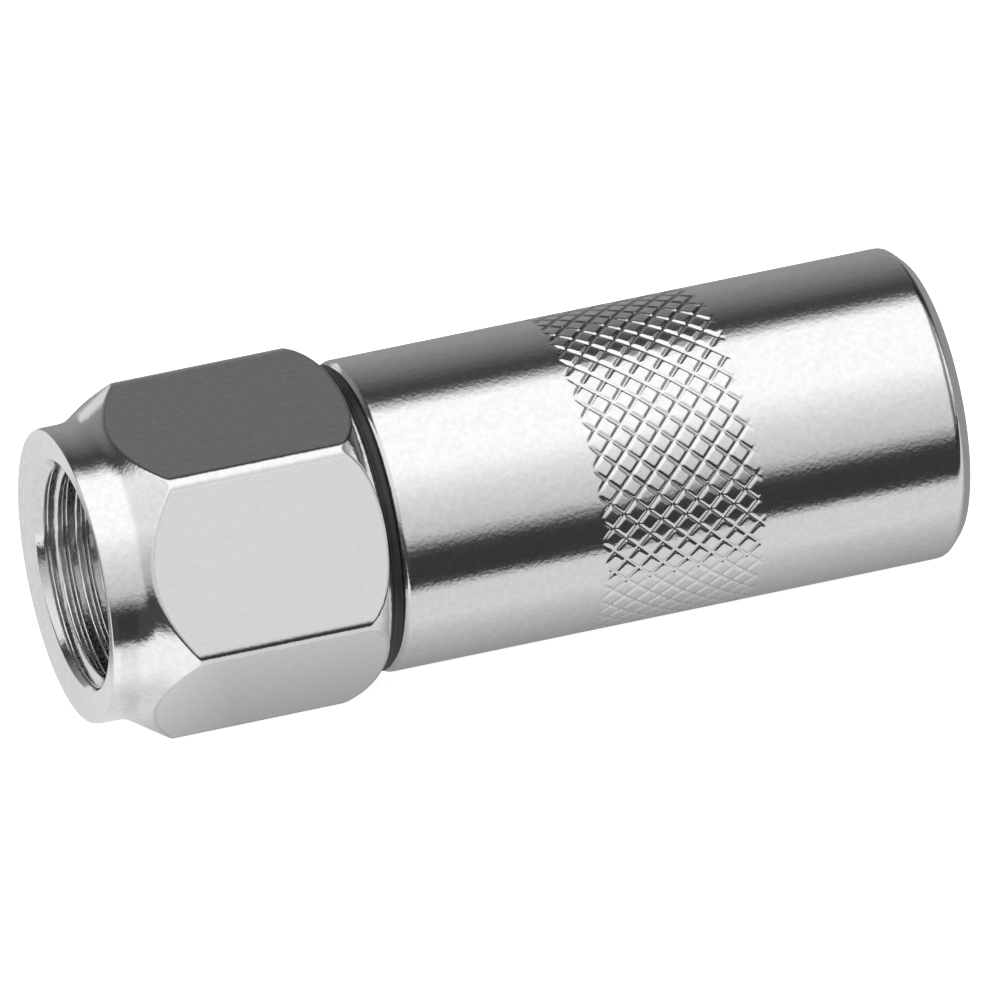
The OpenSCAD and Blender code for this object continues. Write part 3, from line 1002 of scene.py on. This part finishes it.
class COUPLER_OT_stage(bpy.types.Operator):
    """Camera, pale floor, soft studio light and white background"""

    bl_idname = "coupler.stage"
    bl_label = "Stage"

    def execute(self, context):
        s = context.scene.coupler_stage
        context.scene.view_settings.view_transform = "Standard"
        self.camera(context.scene, s)
        self.floor(s)
        self.lamp(s)
        self.studio(context.scene)
        return {"FINISHED"}

    def camera(self, scene, s):
        """Long lens at the viewing angle of the photograph."""
        a, e = s.azimuth, s.elevation
        right = Vector((math.cos(a), math.sin(a), 0))
        back = Vector((math.sin(a) * math.cos(e), -math.cos(a) * math.cos(e), math.sin(e)))
        up = back.cross(right)
        aim = right * s.aim_right + up * s.aim_up - back * s.aim_depth
        data = bpy.data.cameras.new("camera")
        data.sensor_width = 36
        data.lens = data.sensor_width * s.distance / s.frame_width
        data.clip_start, data.clip_end = 0.1, 10
        camera = bpy.data.objects.new("camera", data)
        camera.matrix_world = Matrix((right, up, back)).transposed().to_4x4()
        camera.location = aim + back * s.distance
        scene.collection.objects.link(camera)
        scene.camera = camera

    def floor(self, s):
        """Pale floor beneath the hex, white with a faint shadow; the metal mirrors a painted reflection of
        its own, with painted dark, painted shadow and painted light.
        """
        level, size = CAD_BOX[0].z, 1.5
        mesh = bpy.data.meshes.new("floor")
        corners = ((-1, -1), (1, -1), (1, 1), (-1, 1))
        mesh.from_pydata([(x * size, y * size, level) for x, y in corners], [], [(0, 1, 2, 3)])
        material = bpy.data.materials.new("pale_floor")
        material.use_nodes = True
        tree = material.node_tree
        tree.nodes.remove(tree.nodes["Principled BSDF"])
        w = Wiring(tree)
        path = w.add("ShaderNodeLightPath").outputs
        parts = w.add("ShaderNodeSeparateXYZ")
        w.feed(parts.inputs[0], w.add("ShaderNodeTexCoord").outputs["Object"])
        # Painted reflection, seen in the metal alone: painted dark before the camera, painted shadow beneath
        # the coupler, lifted and lit with painted light by the inlet
        painted_dark_ahead = w.ramp(parts.outputs["Y"], -27 * MM, -22 * MM, 0.045, 0.77)
        painted_shadow_beneath = w.ramp(parts.outputs["Y"], -12 * MM, -4 * MM, 1.0, 0.42)
        painted_shadow_lift = w.ramp(parts.outputs["X"], 1.5 * MM, 7 * MM, 0.73, 0.0)
        painted_inlet_light = w.ramp(parts.outputs["X"], 1.5 * MM, 7 * MM, 1.4, 1.0)
        # Painted reflection tone: painted dark, painted shadow and painted light together
        near = w.math("MULTIPLY", w.math("MULTIPLY", painted_dark_ahead, w.math("MAXIMUM", painted_shadow_beneath, painted_shadow_lift)), painted_inlet_light)
        matt = w.add("ShaderNodeBsdfDiffuse")
        matt.inputs["Color"].default_value = (*s.floor, 1)
        glow = w.add("ShaderNodeEmission")
        w.feed(glow.inputs["Strength"], w.math("MULTIPLY", path["Is Camera Ray"], 0.8))
        seen = w.add("ShaderNodeAddShader")
        w.feed(seen.inputs[0], matt.outputs[0])
        w.feed(seen.inputs[1], glow.outputs[0])
        # Emission that shows the painted reflection to glossy and transmission rays
        painted_reflection = w.add("ShaderNodeEmission")
        w.feed(painted_reflection.inputs["Strength"], near)
        mix = w.add("ShaderNodeMixShader")
        w.feed(mix.inputs[0], w.math("MAXIMUM", path["Is Glossy Ray"], path["Is Transmission Ray"]))
        w.feed(mix.inputs[1], seen.outputs[0])
        w.feed(mix.inputs[2], painted_reflection.outputs[0])
        w.feed(tree.nodes["Material Output"].inputs["Surface"], mix.outputs[0])
        new_piece(mesh, material)

    def lamp(self, s):
        """Large soft lamp overhead."""
        data = bpy.data.lights.new("overhead_lamp", "AREA")
        data.energy, data.size = s.lamp, 0.35
        lamp = bpy.data.objects.new("overhead_lamp", data)
        lamp.location = (0.02, 0.05, 0.4)
        lamp.visible_glossy = False
        bpy.context.scene.collection.objects.link(lamp)

    def studio(self, scene):
        """Room of light and dark cards round the axis, which the metal mirrors; white to the camera alone."""
        world = bpy.data.worlds.new("studio")
        world.use_nodes = True
        scene.world = world
        w = Wiring(world.node_tree)
        parts = w.add("ShaderNodeSeparateXYZ")
        w.feed(parts.inputs[0], w.add("ShaderNodeTexCoord").outputs["Generated"])
        x, y, z = parts.outputs
        around = w.math("ARCTAN2", z, w.math("MULTIPLY", y, -1.0))
        share = w.math("ADD", w.math("DIVIDE", around, FULL_TURN), 0.5)
        # Cards by degrees round the axis, and how they fall off by direction along it
        bands = [
            (-180, 0.32), (-169, 0.58), (-158, 0.8), (-60, 0.7), (-20, 0.045), (3, 0.055), (15, 0.64),
            (40, 0.84), (64, 1.2), (111, 1.2), (123, 0.06), (133, 0.06), (156, 0.22), (180, 0.32),
        ]
        ends = [
            (-1, 0.75), (-0.75, 0.75), (-0.55, 1), (0.4, 1), (0.55, 0.3), (0.8, 0.25), (0.93, 0.9), (1, 0.9),
        ]
        cards = self.levels(w, share, [((degrees + 180) / 360, light / 2) for degrees, light in bands])
        lengthways = w.math("ADD", w.math("DIVIDE", x, 2), 0.5)
        fall = self.levels(w, lengthways, [((reach + 1) / 2, light) for reach, light in ends])
        room = world.node_tree.nodes["Background"]
        w.feed(room.inputs["Color"], cards)
        w.feed(room.inputs["Strength"], w.math("MULTIPLY", fall, 2.0))
        white = w.add("ShaderNodeBackground")
        white.inputs["Color"].default_value = (1, 1, 1, 1)
        mix = w.add("ShaderNodeMixShader")
        w.feed(mix.inputs[0], w.add("ShaderNodeLightPath").outputs["Is Camera Ray"])
        w.feed(mix.inputs[1], room.outputs[0])
        w.feed(mix.inputs[2], white.outputs[0])
        w.feed(world.node_tree.nodes["World Output"].inputs["Surface"], mix.outputs[0])

    def levels(self, w, value, stops):
        """Grey levels that run from stop to stop."""
        ramp = w.add("ShaderNodeValToRGB")
        steps = ramp.color_ramp.elements
        for i, (position, light) in enumerate(stops):
            step = steps[i] if i < 2 else steps.new(1.0)
            step.position = position
            step.color = (light, light, light, 1)
        w.feed(ramp.inputs[0], value)
        return ramp.outputs[0]


class COUPLER_PT_panel(bpy.types.Panel):
    """Lists the steps that build the coupler"""

    bl_idname = "COUPLER_PT_panel"
    bl_label = "Grease coupler"
    bl_space_type = "VIEW_3D"
    bl_region_type = "UI"
    bl_category = "Coupler"

    def draw(self, context):
        for step in STEPS:
            self.layout.operator(step.bl_idname)
        for name in GROUPS:
            box = self.layout.box()
            group = getattr(context.scene, name)
            for key in group.bl_rna.properties.keys():
                if key not in {"rna_type", "name"}:
                    box.prop(group, key)


GROUPS = {
    "coupler_adapter": AdapterSizes,
    "coupler_sleeve": SleeveSizes,
    "coupler_grip": GripSizes,
    "coupler_finish": FinishColours,
    "coupler_stage": StageSettings,
}
STEPS = (
    COUPLER_OT_stage,
    COUPLER_OT_hex_adapter,
    COUPLER_OT_collar_ring,
    COUPLER_OT_knurled_sleeve,
    COUPLER_OT_jaws,
    COUPLER_OT_piston,
    COUPLER_OT_springs,
    COUPLER_OT_check_valve,
)
CLASSES = (*GROUPS.values(), *STEPS, COUPLER_PT_panel)


def register():
    for cls in CLASSES:
        bpy.utils.register_class(cls)
    for name, group in GROUPS.items():
        setattr(bpy.types.Scene, name, PointerProperty(type=group))


def unregister():
    for name in GROUPS:
        delattr(bpy.types.Scene, name)
    for cls in reversed(CLASSES):
        bpy.utils.unregister_class(cls)


def main():
    register()
    bpy.ops.coupler.stage()
    bpy.ops.coupler.hex_adapter()
    bpy.ops.coupler.collar_ring()
    bpy.ops.coupler.knurled_sleeve()
    bpy.ops.coupler.jaws()
    bpy.ops.coupler.piston()
    bpy.ops.coupler.springs()
    bpy.ops.coupler.check_valve()


if __name__ == "__main__":
    main()
